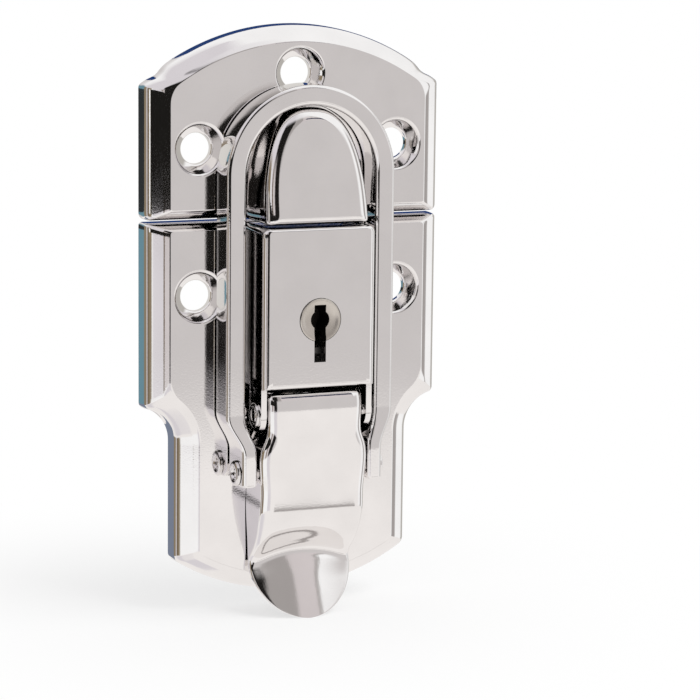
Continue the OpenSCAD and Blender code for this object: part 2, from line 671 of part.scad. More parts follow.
// Tubular rivet from inside the lever's flange to the outside of the bail's ear
module bail_rivet(side) {
    r = rivet_d / 2;
    x0 = lever_half - lever_sheet - 0.75;
    x1 = bail_ear_in + ear_strip + 0.12;
    head_r = 2.15;
    color(bright) mirror([side, 0, 0])
        translate([0, -rivet_rise, rivet_z]) rotate([0, 90, 0]) rotate_extrude()
            polygon([[0, x0 + 0.2], [r, x0 + 0.2], [r, x1], [head_r, x1], [head_r, x1 + 0.3],
                     [head_r - 0.3, x1 + 0.6], [r + 0.1, x1 + 0.6], [r - 0.25, x1 + 0.3],
                     [r - 0.35, x1 - 1], [0, x1 - 1]]);
}

module bail_rivet_left() {
    bail_rivet(1);
}

module bail_rivet_right() {
    bail_rivet(0);
}

// Channel section of the bail: offset of its inner side, width, front and back rise, as [x, rise]
function bail_section(x, strip, front, back) =
    let (out = x + strip, web = front - bail_sheet)
    concat([[x, back], [x + bail_sheet, back], [x + bail_sheet, web], [out - bail_sheet, web],
            [out - bail_sheet, back], [out, back]],
           arc([out - edge_r, front - edge_r], edge_r, 0, 90, 4),
           arc([x + edge_r, front - edge_r], edge_r, 90, 180, 4));
// Ring of the bail at height z, turned by a about the middle of its arch
function bail_ring(z, a) =
    let (t = smooth(min(1, max(0, (jog_top - z) / (jog_top - jog_low)))))
    [for (p = bail_section(mix(bail_in, bail_ear_in, t), mix(bail_strip, ear_strip, t),
                           mix(bail_rise, bail_ear_rise, t), bail_back))
        [p[0] * cos(a), -p[1], z + p[0] * sin(a)]];
// Ends of the bail's channel: its two walls, and its web with the rounded edges
bail_cap = [[0, 1, 2], [0, 2, 15], [3, 4, 5], [3, 5, 6], [2, 3, for (i = [6:15]) i]];
bail_leg = concat([ear_end], [for (i = [jog_steps:-1:0]) mix(jog_top, jog_low, i / jog_steps)]);

// Draw loop: inverted U of pressed channel, open to the back, jogged in to ears at its ends
module bail() {
    color(bright) difference() {
        loft(concat([for (z = bail_leg) bail_ring(z, 180)],
                    [for (i = [0:bail_steps]) bail_ring(bail_centre_z, 180 - 180 * i / bail_steps)],
                    [for (i = [len(bail_leg) - 1:-1:0]) bail_ring(bail_leg[i], 0)]), bail_cap);
        along_x(-bail_out - over, bail_out + over) difference() {
            translate([-bail_back - ear_back_r, ear_end - over]) square(ear_back_r + over);
            translate([-bail_back - ear_back_r, ear_end + ear_back_r * 0.94]) circle(r = ear_back_r);
        }
        rod_x(-case_w, case_w, rivet_d / 2 + run_fit, rivet_rise, rivet_z);
    }
}

keeper_plate();
base_plate();
lock_case();
ward_bracket();
key_drum();
drive_cam();
drive_pin();
lock_slide();
detent_spring();
spring_rivet();
lever_pin();
lever();
bail_rivet_left();
bail_rivet_right();
bail();
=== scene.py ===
# Draw latch with a key lock, in plated pressed steel, shown closed: its looks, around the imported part.
# Metres, +z up. The front looks towards -y, and "rise" is the distance in front of the plates' back plane.
import math

import bmesh
import bpy
from mathutils import Matrix, Vector


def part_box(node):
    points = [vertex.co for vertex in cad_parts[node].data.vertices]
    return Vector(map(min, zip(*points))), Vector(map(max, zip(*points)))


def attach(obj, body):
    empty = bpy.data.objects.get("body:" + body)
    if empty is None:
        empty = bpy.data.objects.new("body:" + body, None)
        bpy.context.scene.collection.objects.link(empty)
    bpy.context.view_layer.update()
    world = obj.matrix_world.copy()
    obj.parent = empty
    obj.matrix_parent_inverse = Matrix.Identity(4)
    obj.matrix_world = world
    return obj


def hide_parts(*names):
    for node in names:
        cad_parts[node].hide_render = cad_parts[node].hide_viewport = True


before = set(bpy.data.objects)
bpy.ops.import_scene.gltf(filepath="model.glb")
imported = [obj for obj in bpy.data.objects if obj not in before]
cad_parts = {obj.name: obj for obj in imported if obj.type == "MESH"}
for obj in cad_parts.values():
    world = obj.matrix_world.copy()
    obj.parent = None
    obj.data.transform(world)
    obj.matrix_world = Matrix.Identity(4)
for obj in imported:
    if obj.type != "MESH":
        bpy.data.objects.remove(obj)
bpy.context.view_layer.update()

# Base plate: a shallow tray pressed from bright plated steel sheet, with a stepped skirt all round, an ogee
# waist and a rounded foot. Its screw holes sit in countersunk dimples; lock and lever are fixed to it.
MM = 0.001
base_low, base_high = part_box("base_plate")
plate_w = (base_high.x - base_low.x) / MM
base_h = base_high.z / MM
plate_rise = -base_low.y / MM
sheet = 1
waist_w = 42.4
waist_z = 27
ogee_r = 6
foot_r = 37
skirt_inset = 3.7
foot_inset = 3.2
base_top_inset = 0.8
rim_lift = 0.3
foot_corner_r = 1.6
top_corner_r = 0.6
outer_corner_r = 1
flat_corner_r = 4.5
hole_span = 35.2
base_holes = [(-hole_span / 2, 52), (hole_span / 2, 52), (0, 13.5)]
# Share of the inset and share of the rise, from the back rim over the shoulder and the two slopes to the flat
skirt = [(0, 0), (0.01, 0.2), (0.03, 0.38), (0.05, 0.455), (0.08, 0.52), (0.12, 0.57), (0.17, 0.615),
         (0.23, 0.66), (0.285, 0.692), (0.33, 0.715), (0.37, 0.735), (0.66, 0.88), (0.69, 0.894),
         (0.72, 0.907), (0.76, 0.922), (0.93, 0.98), (0.955, 0.9875), (0.98, 0.994), (1.005, 0.998),
         (1.03, 1), (1.07, 1)]
# Radius and depth below the flat, from the flat over the rounded rim and the cone to the drawn-through hole
dimple = [(4.72, 0), (4.62, 0), (4.5, 0.02), (4.38, 0.06), (4.26, 0.14), (4.13, 0.26), (4, 0.42),
          (3.86, 0.61), (3, 1.75), (2.87, 1.93), (2.75, 2.12), (2.66, 2.35), (2.61, 2.6), (2.6, 3.3)]


def at(x, rise, z):
    return Vector((x, -rise, z)) * MM


def smooth(t):
    t = min(1, max(0, t))
    return t * t * (3 - 2 * t)


def arc(x, z, radius, start, end, steps):
    turns = [math.radians(start + (end - start) * i / steps) for i in range(steps + 1)]
    return [(x + radius * math.cos(t), z + radius * math.sin(t)) for t in turns]


def run(start, end):
    (x0, z0), (x1, z1) = start, end
    return [(x0 + (x1 - x0) * t, z0 + (z1 - z0) * t) for t in (0.02, 0.07, 0.2, 0.5, 0.8, 0.93, 0.98)]


def mirrored(half):
    return half + [(-x, z) for x, z in reversed(half) if x > 0.0001]


def corner_at(k):
    return outer_corner_r + (flat_corner_r - outer_corner_r) * smooth((k - 0.6) / 0.4)


def base_outline(k):
    half = plate_w / 2 - skirt_inset * k
    waist = waist_w / 2 - skirt_inset * k
    foot = foot_r - foot_inset * k
    foot_z = foot_r - math.sqrt((foot - foot_corner_r) ** 2 - (waist - foot_corner_r) ** 2)
    foot_turn = math.degrees(math.atan2(foot_z - foot_r, waist - foot_corner_r))
    hollow = ogee_r + skirt_inset * k
    hollow_x = waist_w / 2 + ogee_r
    corner = corner_at(k)
    fillet_z = waist_z + math.sqrt((hollow + corner) ** 2 - (hollow_x - half + corner) ** 2)
    hollow_turn = math.degrees(math.atan2(fillet_z - waist_z, half - corner - hollow_x))
    top = base_h + rim_lift - (base_top_inset + rim_lift) * k
    top_arc = arc(half - top_corner_r, top - top_corner_r, top_corner_r, 0, 90, 5)
    return mirrored(arc(0, foot_r, foot, -90, foot_turn, 28)
                    + arc(waist - foot_corner_r, foot_z, foot_corner_r, foot_turn, 0, 8)[1:]
                    + run((waist, foot_z), (waist, waist_z))
                    + arc(hollow_x, waist_z, hollow, 180, hollow_turn, 22)
                    + arc(half - corner, fillet_z, corner, hollow_turn - 180, 0, 12)[1:]
                    + run((half, fillet_z), top_arc[0]) + top_arc + run(top_arc[-1], (0, top)))


def loop_edges(bm, loop, closed=True):
    ends = loop[1:] + loop[:1] if closed else loop[1:]
    return [bm.edges.get((a, b)) or bm.edges.new((a, b)) for a, b in zip(loop, ends)]


def start_loop(bm, places, closed=True):
    loop = [bm.verts.new(p) for p in places]
    loop_edges(bm, loop, closed)
    return loop


def pull(bm, loop, places, closed=True):
    made = bmesh.ops.extrude_edge_only(bm, edges=loop_edges(bm, loop, closed))["geom"]
    fresh = {g for g in made if isinstance(g, bmesh.types.BMVert)}
    loop = [next(e.other_vert(v) for e in v.link_edges if e.other_vert(v) in fresh) for v in loop]
    for v, p in zip(loop, places):
        v.co = p
    return loop


def pull_rings(bm, rings, closed=True):
    loop = start_loop(bm, rings[0], closed)
    for ring in rings[1:]:
        loop = pull(bm, loop, ring, closed)
    return loop


def dimple_rim(bm, x, z):
    steps = 72
    rings = [[at(px, plate_rise - depth, pz) for px, pz in arc(x, z, radius, 0, 360, steps)[:-1]]
             for radius, depth in dimple]
    loop = start_loop(bm, rings[0])
    rim = loop_edges(bm, loop)
    for ring in rings[1:]:
        loop = pull(bm, loop, ring)
    return rim


def fill(bm, edges):
    bmesh.ops.triangle_fill(bm, edges=edges, use_beauty=True, use_dissolve=False, normal=(0, -1, 0))


def thicken(bm, faces, thickness):
    bmesh.ops.recalc_face_normals(bm, faces=faces)
    front = min(faces, key=lambda f: f.calc_center_median().y)
    if front.normal.y > 0:
        bmesh.ops.reverse_faces(bm, faces=faces)
    bmesh.ops.solidify(bm, geom=faces, thickness=thickness * MM)
    for v in bm.verts:
        v.co.y = min(v.co.y, 0)


def add_piece(name, bm, material, body, nodes, sharp=33):
    bmesh.ops.remove_doubles(bm, verts=bm.verts, dist=0.002 * MM)
    for face in bm.faces:
        face.smooth = True
    for edge in bm.edges:
        edge.smooth = edge.calc_face_angle(0) < math.radians(sharp)
    mesh = bpy.data.meshes.new(name)
    bm.to_mesh(mesh)
    bm.free()
    mesh.materials.append(material)
    piece = bpy.data.objects.new(name, mesh)
    bpy.context.collection.objects.link(piece)
    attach(piece, body)
    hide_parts(*nodes)
    return piece


def add_node(tree, kind, **values):
    node = tree.nodes.new(kind)
    for key, value in values.items():
        if key in node.inputs:
            node.inputs[key].default_value = value
        else:
            setattr(node, key, value)
    return node


def noise(tree, coordinates, scale, detail):
    node = add_node(tree, "ShaderNodeTexNoise", Scale=scale, Detail=detail)
    tree.links.new(coordinates, node.inputs["Vector"])
    return node.outputs["Factor" if "Factor" in node.outputs else "Fac"]


# Surface of plated sheet: slow waves left by the press, fine orange peel, a few duller clouds
plating = bpy.data.node_groups.new("plating", "ShaderNodeTree")
for name in ("Wave height", "Peel height"):
    plating.interface.new_socket(name, in_out="INPUT", socket_type="NodeSocketFloat")
plating.interface.new_socket("Clouds", in_out="OUTPUT", socket_type="NodeSocketFloat")
plating.interface.new_socket("Normal", in_out="OUTPUT", socket_type="NodeSocketVector")
group_in = plating.nodes.new("NodeGroupInput")
group_out = plating.nodes.new("NodeGroupOutput")
place = plating.nodes.new("ShaderNodeTexCoord").outputs["Object"]
wave_bump = add_node(plating, "ShaderNodeBump", Strength=1)
peel_bump = add_node(plating, "ShaderNodeBump", Strength=1)
plating.links.new(noise(plating, place, 70, 1), wave_bump.inputs["Height"])
plating.links.new(group_in.outputs["Wave height"], wave_bump.inputs["Distance"])
plating.links.new(noise(plating, place, 3500, 2), peel_bump.inputs["Height"])
plating.links.new(group_in.outputs["Peel height"], peel_bump.inputs["Distance"])
plating.links.new(wave_bump.outputs["Normal"], peel_bump.inputs["Normal"])
plating.links.new(noise(plating, place, 130, 5), group_out.inputs["Clouds"])
plating.links.new(peel_bump.outputs["Normal"], group_out.inputs["Normal"])


def metal(name, pale, deep, smoothest, roughest, wave=0.00003, peel=0.000003):
    material = bpy.data.materials.new(name)
    material.use_nodes = True
    tree = material.node_tree
    shader = tree.nodes["Principled BSDF"]
    shader.inputs["Metallic"].default_value = 1
    surface = tree.nodes.new("ShaderNodeGroup")
    surface.node_tree = plating
    surface.inputs["Wave height"].default_value = wave
    surface.inputs["Peel height"].default_value = peel
    tint = add_node(tree, "ShaderNodeValToRGB")
    tint.color_ramp.elements[0].color = (*deep, 1)
    tint.color_ramp.elements[0].position = 0.35
    tint.color_ramp.elements[1].color = (*pale, 1)
    tint.color_ramp.elements[1].position = 0.65
    rough = tree.nodes.new("ShaderNodeMapRange")
    rough.inputs["From Min"].default_value = 0.3
    rough.inputs["From Max"].default_value = 0.7
    rough.inputs["To Min"].default_value = roughest
    rough.inputs["To Max"].default_value = smoothest
    tree.links.new(surface.outputs["Clouds"], tint.inputs["Fac"])
    tree.links.new(surface.outputs["Clouds"], rough.inputs["Value"])
    tree.links.new(tint.outputs["Color"], shader.inputs["Base Color"])
    tree.links.new(rough.outputs["Result"], shader.inputs["Roughness"])
    tree.links.new(surface.outputs["Normal"], shader.inputs["Normal"])
    return material


plated_steel = metal("plated_steel", (0.9, 0.885, 0.88), (0.86, 0.845, 0.84), 0.035, 0.085)

bm = bmesh.new()
rim = pull_rings(bm, [[at(x, share * plate_rise, z) for x, z in base_outline(k)] for k, share in skirt])
edges = loop_edges(bm, rim)
for x, z in base_holes:
    edges += dimple_rim(bm, x, z)
fill(bm, edges)
thicken(bm, bm.faces[:], sheet * 0.9)
add_piece("base_plate_skin", bm, plated_steel, "plates", ["base_plate"])

# Keeper plate: the same pressing for the other half of the case, with an arched top, three dimpled holes
# and a ramp-shaped boss drawn out of the sheet, which the loop hooks over.
keeper_low, keeper_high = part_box("keeper_plate")
keeper_z = keeper_low.z / MM
keeper_top = keeper_high.z / MM
arch_r = 40
arch_z = keeper_top - arch_r
keeper_top_inset = 2.8
keeper_low_inset = 1.6
low_corner_r = 1.1
shoulder_dip = 0.5
keeper_holes = [(-hole_span / 2, keeper_z + 11.7), (hole_span / 2, keeper_z + 11.7), (0, keeper_top - 8)]
boss_w = 18
boss_flare = 0.9
boss_square = 2.5
boss_h = 18.7
boss_low_rise = -keeper_low.y / MM
boss_high_rise = boss_low_rise - 3.7
boss_corner_r = 0.6
# Distance in from the flank and below the face, over the boss's soft shoulder
shoulder = [(0, 1.9), (0.06, 1.6), (0.15, 1.3), (0.25, 1.1), (0.35, 0.95), (0.52, 0.77), (0.7, 0.62),
            (0.95, 0.46), (1.2, 0.33), (1.45, 0.22), (1.7, 0.13), (1.9, 0.07), (2.1, 0.03), (2.25, 0.01),
            (2.4, 0), (2.6, 0)]
# Share of the way up the flank and how far the flank stands out there, as a share of the flare
flank = [(-0.03, 1.1), (0, 1), (0.03, 0.86), (0.07, 0.72), (0.13, 0.58), (0.22, 0.45), (0.35, 0.33),
         (0.5, 0.23), (0.65, 0.15), (0.8, 0.08), (0.92, 0.03), (1, 0)]


def keeper_outline(k):
    half = plate_w / 2 - skirt_inset * k
    radius = arch_r - keeper_top_inset * k
    corner = corner_at(k)
    low = keeper_z - rim_lift + (keeper_low_inset + rim_lift) * k
    low_corner = low_corner_r + (0.3 - low_corner_r) * smooth(k / 0.35)
    fillet_z = arch_z + math.sqrt((radius - corner) ** 2 - (half - corner) ** 2)
    turn = math.degrees(math.atan2(fillet_z - arch_z, half - corner))
    arch = []
    for i in range(1, 61):
        t = turn + (90 - turn) * i / 60
        dip = shoulder_dip * (1 - min(1, k)) * math.exp(-((t - turn - 4) / 2.2) ** 2)
        arch += arc(0, arch_z, radius - dip, t, t, 1)[:1]
    low_arc = arc(half - low_corner, low + low_corner, low_corner, -90, 0, 6)
    return mirrored(run((0, low), low_arc[0]) + low_arc + run(low_arc[-1], (half, fillet_z))
                    + arc(half - corner, fillet_z, corner, 0, turn, 12) + arch)


def boss_outline(e):
    low = keeper_z - rim_lift + 0.06 + max(e, 0) * 0.55
    top = keeper_z + boss_h - max(e, 0) * 0.8
    half = boss_w / 2 - e
    first = math.degrees(math.asin((boss_corner_r / (top - low)) ** (boss_square / 2)))
    low_arc = arc(half - boss_corner_r, low + boss_corner_r, boss_corner_r, -90, 0, 5)
    sides = []
    for i in range(1, 61):
        t = math.radians(first + (90 - first) * i / 60)
        power = 2 / boss_square
        sides.append((half * math.cos(t) ** power, low + (top - low) * math.sin(t) ** power))
    return mirrored(run((0, low), low_arc[0]) + low_arc + sides[:-1] + [(0, top)])


def boss_front(z):
    return boss_low_rise + (boss_high_rise - boss_low_rise) * (z - keeper_z) / boss_h


def skirt_rise(k):
    for (k0, s0), (k1, s1) in zip(skirt, skirt[1:]):
        if k <= k1:
            return plate_rise * (s0 + (s1 - s0) * (k - k0) / (k1 - k0))
    return plate_rise


bm = bmesh.new()
rim = pull_rings(bm, [[at(x, share * plate_rise, z) for x, z in keeper_outline(k)] for k, share in skirt])
flat_low = min(v.co.z for v in rim) / MM
opening = [(x, z) for x, z in boss_outline(-boss_flare + 0.3) if z > flat_low + 0.3]
opening = [(opening[0][0], flat_low), *opening, (opening[-1][0], flat_low)]
chain = start_loop(bm, [at(x, plate_rise, z) for x, z in opening], closed=False)
edges = loop_edges(bm, rim, closed=False) + loop_edges(bm, chain, closed=False)
edges += [bm.edges.new((rim[0], chain[0])), bm.edges.new((chain[-1], rim[-1]))]
for x, z in keeper_holes:
    edges += dimple_rim(bm, x, z)
fill(bm, edges)
thicken(bm, bm.faces[:], sheet * 0.9)
plate_faces = set(bm.faces)
rings = []
for share, out in flank:
    ring = []
    for x, z in boss_outline(-boss_flare * out):
        foot = skirt_rise((z - keeper_z) / keeper_low_inset)
        ring.append(at(x, foot + share * (boss_front(z) - shoulder[0][1] - foot), z))
    rings.append(ring)
for e, below in shoulder[1:]:
    rings.append([at(x, boss_front(z) - below, z) for x, z in boss_outline(e)])
face_loop = pull_rings(bm, rings)
fill(bm, loop_edges(bm, face_loop))
thicken(bm, [f for f in bm.faces if f not in plate_faces], sheet * 0.9)
add_piece("keeper_plate_skin", bm, plated_steel, "plates", ["keeper_plate"])

# Works inside the case: bracket, cam, drive pin, slide and leaf spring are plain zinc-coated stampings, and
# little of them shows; the imported parts stay and are coloured near black, as painted shade for the dark
# inside of the case.
inner_steel = metal("inner_steel", (0.14, 0.135, 0.13), (0.07, 0.068, 0.065), 0.28, 0.42, 0.00001, 0.000001)
for name in ["ward_bracket", "drive_cam", "drive_pin", "lock_slide", "detent_spring", "spring_rivet"]:
    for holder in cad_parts[name].material_slots:
        holder.material = inner_steel

# Lock case: a pressed box open below, with rolled edges, held by clinched tabs. Its walls run down into round
# ears for the lever's pin, and its front has a hole for the drum with a notch for the key's bit.
case_half = 9.9
case_sheet = 1
case_rise = -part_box("lock_case")[0].y / MM
case_low = 37.4
case_corner_r = 1.2
case_roll = 1
pivot_z = 32.7
pivot_rise = 12
ear_r = 2.8
drum_z = 48.9
drum_r = 3.63
slot_half = 1.025
slot_low = drum_z - 7.1
tab_l = 4
tab_foot = 2


def case_outline(e):
    corner = max(case_corner_r - e, 0.25)
    low = case_low + e * 0.8
    side = case_half - e * 1.5
    top = base_h + rim_lift - e * 0.6
    top_arc = arc(side - corner, top - corner, corner, 0, 90, 8)
    return (mirrored([(side, low)] + run((side, low), top_arc[0]) + top_arc + run(top_arc[-1], (0, top)))
            + run((-side, low), (side, low)))


def add_box(bm, x0, x1, rise0, rise1, z0, z1, bevel=0):
    size = Vector((abs(x1 - x0), abs(rise1 - rise0), abs(z1 - z0))) * MM
    middle = at((x0 + x1) / 2, (rise0 + rise1) / 2, (z0 + z1) / 2)
    place = Matrix.Translation(middle) @ Matrix.Diagonal((*size, 1))
    verts = bmesh.ops.create_cube(bm, size=1, matrix=place)["verts"]
    if bevel:
        edges = list({e for v in verts for e in v.link_edges})
        bmesh.ops.bevel(bm, geom=edges, offset=bevel * MM, affect="EDGES", segments=3, profile=0.5,
                        material=-1)


bm = bmesh.new()
roll = [(case_roll * (1 - math.cos(math.radians(t))), case_roll * (1 - math.sin(math.radians(t))))
        for t in range(0, 91, 9)] + [(case_roll + 0.08, 0), (case_roll + 0.16, 0)]
rings = [[at(x, case_rise - below, z) for x, z in case_outline(e)] for e, below in roll]
edge_loop = start_loop(bm, rings[0])
loop = edge_loop
for ring in rings[1:]:
    loop = pull(bm, loop, ring)
notch = math.degrees(math.asin(slot_half / (drum_r + 0.06)))
keyhole = [(slot_half, slot_low), *arc(0, drum_z, drum_r + 0.06, -90 + notch, 270 - notch, 72),
           (-slot_half, slot_low)]
hole = start_loop(bm, [at(x, case_rise, z) for x, z in keyhole])
fill(bm, loop_edges(bm, loop) + loop_edges(bm, hole))
edge_loop = edge_loop[:-len(run((0, 0), (1, 0)))]
walls = pull(bm, edge_loop, [Vector((v.co.x, -9 * MM, v.co.z)) for v in edge_loop], closed=False)
pull(bm, walls, [Vector((v.co.x, -(plate_rise - 0.02) * MM, v.co.z)) for v in walls], closed=False)
thicken(bm, bm.faces[:], case_sheet * 0.9)
for side in (-1, 1):
    ear = [(-x, z) for x, z in arc(pivot_rise, pivot_z, ear_r, 180, 360, 28)]
    ear = [(-(pivot_rise - ear_r), case_low + 2)] + ear + [(-(pivot_rise + ear_r), case_low + 2)]
    inner, outer = side * (case_half - case_sheet) * MM, side * (case_half - 0.02) * MM
    verts = [bm.verts.new((inner, y * MM, z * MM)) for y, z in ear]
    face = bm.faces.new(verts)
    grown = bmesh.ops.extrude_face_region(bm, geom=[face])["geom"]
    for v in grown:
        if isinstance(v, bmesh.types.BMVert):
            v.co.x = outer
    tab_in = side * (case_half - case_sheet + 0.03)
    for z in (case_low + 4, base_h - 6.5):
        add_box(bm, tab_in, side * (case_half - 0.03), plate_rise - 2, plate_rise + 0.5, z, z + tab_l)
        add_box(bm, tab_in, side * (case_half + tab_foot), plate_rise - 2, plate_rise - 1, z, z + tab_l, 0.15)
bmesh.ops.recalc_face_normals(bm, faces=bm.faces)
add_piece("lock_case_skin", bm, plated_steel, "plates", ["lock_case"])

# Key drum: turned from brass and plated, duller than the sheet, with a dished face and a broached keyway
# that runs out through its lower edge. Its shank and tail reach back through the bracket to the cam.
drum_back = -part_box("key_drum")[1].y / MM
keyway_r = 1.65
keyway_lean = 9
keyway_depth = 4.6


def lathe(bm, profile, origin, axis, across, steps):
    verts = [bm.verts.new(origin + across * r * MM + axis * a * MM) for r, a in profile]
    edges = [bm.edges.new(pair) for pair in zip(verts, verts[1:])]
    bmesh.ops.spin(bm, geom=verts + edges, cent=origin, axis=axis, angle=math.tau, steps=steps,
                   use_merge=True)
    bmesh.ops.remove_doubles(bm, verts=bm.verts, dist=0.002 * MM)
    bmesh.ops.recalc_face_normals(bm, faces=bm.faces)


drum_metal = metal("drum_metal", (0.7, 0.66, 0.61), (0.52, 0.485, 0.44), 0.16, 0.3, 0.00001,
                   0.0000008)
# The keyway's cut walls take a near-black metal: painted shade for the deep, narrow keyway.
keyway_painted_shade = metal("keyway_painted_shade", (0.05, 0.045, 0.04), (0.02, 0.018, 0.016), 0.4, 0.6)
bm = bmesh.new()
face_rise = case_rise
lathe(bm, [(0, drum_back), (1.3, drum_back), (1.5, drum_back + 0.2), (1.5, 10.6), (2.6, 10.6), (2.6, 13.9),
           (4.4, 14), (4.4, 14.9), (drum_r, 14.9), (drum_r, face_rise - 0.1),
           (drum_r - 0.04, face_rise + 0.06), (drum_r - 0.14, face_rise + 0.14),
           (drum_r - 0.3, face_rise + 0.15), (drum_r - 0.5, face_rise + 0.1),
           (drum_r - 0.8, face_rise), (drum_r - 1.1, face_rise - 0.08), (drum_r - 1.5, face_rise - 0.13),
           (1.2, face_rise - 0.17), (0, face_rise - 0.2)],
      at(0, 0, drum_z), Vector((0, -1, 0)), Vector((1, 0, 0)), 96)
drum = add_piece("key_drum_turned", bm, drum_metal, "drum", ["key_drum"], 28)
bm = bmesh.new()
lathe(bm, [(0, face_rise - keyway_depth), (keyway_r, face_rise - keyway_depth),
           (keyway_r, face_rise + 1), (0, face_rise + 1)],
      at(0, 0, drum_z), Vector((0, -1, 0)), Vector((1, 0, 0)), 48)
for reach, lean in [(2.5, -keyway_lean), (-4.4, keyway_lean)]:
    start = len(bm.verts)
    add_box(bm, -slot_half, slot_half, face_rise - keyway_depth, face_rise + 1, drum_z, drum_z + reach)
    bm.verts.ensure_lookup_table()
    bmesh.ops.rotate(bm, cent=at(0, 0, drum_z), verts=bm.verts[start:],
                     matrix=Matrix.Rotation(math.radians(-lean), 3, "Y"))
bmesh.ops.recalc_face_normals(bm, faces=bm.faces)
cutter_mesh = bpy.data.meshes.new("keyway")
bm.to_mesh(cutter_mesh)
bm.free()
cutter_mesh.materials.append(keyway_painted_shade)
cutter = bpy.data.objects.new("keyway", cutter_mesh)
bpy.context.collection.objects.link(cutter)
cut = drum.modifiers.new("keyway", "BOOLEAN")
cut.object = cutter
cut.operation = "DIFFERENCE"
cut.solver = "EXACT"
cut.use_self = True
cut.material_mode = "TRANSFER"
bpy.context.view_layer.update()
shown = drum.evaluated_get(bpy.context.evaluated_depsgraph_get())
bored = bpy.data.meshes.new_from_object(shown)
drum.modifiers.remove(cut)
drum.data = bored
bpy.data.objects.remove(cutter)
bm = bmesh.new()
bm.from_mesh(bored)
for edge in bm.edges:
    edge.smooth = edge.calc_face_angle(0) < math.radians(28)
bm.to_mesh(bored)
bm.free()

# Lever pin: a length of plated steel wire through both ears of the case, which the lever turns on.
# Its ends are headed over outside the ears, with a ring turned into each head.
pin_r = 1.25
pin_steel = metal("pin_steel", (0.87, 0.855, 0.85), (0.8, 0.785, 0.78), 0.06, 0.14)
head_r = pin_r + 0.85
bm = bmesh.new()
half_pin = [(0, 0), (pin_r, 0), (pin_r, case_half), (head_r, case_half)]
half_pin += [(head_r - inset, case_half + height) for inset, height in [
    (0, 0.24), (0.05, 0.34), (0.16, 0.42), (0.3, 0.45), (0.55, 0.45), (0.66, 0.4), (0.8, 0.25), (0.94, 0.4),
    (1.05, 0.45), (head_r, 0.45)]]
for side in (-1, 1):
    lathe(bm, half_pin, at(0, pivot_rise, pivot_z), Vector((side, 0, 0)), Vector((0, 0, 1)), 48)
add_piece("lever_pin_turned", bm, pin_steel, "plates", ["lever_pin"], 28)

# Lever: a pressed channel with a rolled upper edge, a hill down to a fold and a thumb lip turned out below.
# It turns on the pin; a tongue bent up inside its upper end is what the lock catches.
lever_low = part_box("lever")[0]
lever_rise = 15.2
lever_fold = 24.7
lever_tip = pivot_z - lever_low.z / MM
lever_half = 9.6
neck_half = 8.5
crease = lever_fold - 8.2
lip_root = lever_fold + 2.2
lip_half = lever_half - 0.5
lip_crown = 0.5
fold_bow = 2
lever_sheet = 1
tongue_h = 5
lever_top = 4.2
# Distance below the pivot and rise of the face, half width, and rise of the flanges' back edge
face_table = [(-lever_top, lever_rise - 1.7), (-lever_top + 0.15, lever_rise - 1.25),
              (-lever_top + 0.4, lever_rise - 0.88), (-lever_top + 0.8, lever_rise - 0.55),
              (-lever_top + 1.4, lever_rise - 0.25), (-lever_top + 2.2, lever_rise - 0.06),
              (-lever_top + 3, lever_rise), (-lever_top + 3.8, lever_rise - 0.01), (7, lever_rise - 0.4),
              (crease - 0.5, lever_rise - 0.97), (crease + 0.1, lever_rise - 1.04),
              (crease + 0.7, lever_rise - 1.22),
              (crease + 2.9, lever_rise - 2.4), (lever_fold - 2.1, lever_rise - 5.7),
              (lever_fold - 1.1, lever_rise - 6.65), (lever_fold - 0.5, lever_rise - 7.07),
              (lever_fold, lever_rise - 7.22), (lever_fold + 0.5, lever_rise - 7.12),
              (lever_fold + 1.3, lever_rise - 6.75), (lever_fold + 2.5, lever_rise - 6.2), (lever_tip, 12.75)]
half_table = [(-lever_top, neck_half), (0, neck_half), (3.2, neck_half), (5.8, lever_half - 0.25),
              (7.8, lever_half - 0.02), (14, lever_half - 0.35), (crease, lever_half - 0.27),
              (lever_fold, lip_half), (lip_root, lip_half)]
back_table = [(-lever_top, 12.9), (-1, 9), (3, 8), (8, 6.5), (lever_fold, 6.5), (lever_tip, 6.5)]


def along(table, u):
    slopes = [(b[1] - a[1]) / (b[0] - a[0]) for a, b in zip(table, table[1:])]
    for i, ((u0, v0), (u1, v1)) in enumerate(zip(table, table[1:])):
        if u <= u1 or i == len(table) - 2:
            before = slopes[max(i - 1, 0)]
            after = slopes[min(i + 1, len(slopes) - 1)]
            m0 = 0 if before * slopes[i] < 0 else (before + slopes[i]) / 2
            m1 = 0 if after * slopes[i] < 0 else (after + slopes[i]) / 2
            h = u1 - u0
            t = min(1, max(0, (u - u0) / h))
            return (v0 * (2 * t ** 3 - 3 * t ** 2 + 1) + m0 * h * (t ** 3 - 2 * t ** 2 + t)
                    + v1 * (3 * t ** 2 - 2 * t ** 3) + m1 * h * (t ** 3 - t ** 2))


def face_at(u, x):
    share = (x / lip_half) ** 2
    bowed = u - fold_bow * smooth((u - crease) / (lever_fold - crease)) * share
    return along(face_table, bowed) - lip_crown * smooth((u - lever_fold) / 5) * share


def inner_at(u, x):
    slope = (face_at(u + 0.2, x) - face_at(u - 0.2, x)) / 0.4
    return face_at(u, x) - lever_sheet * min(1.5, math.sqrt(1 + slope * slope))


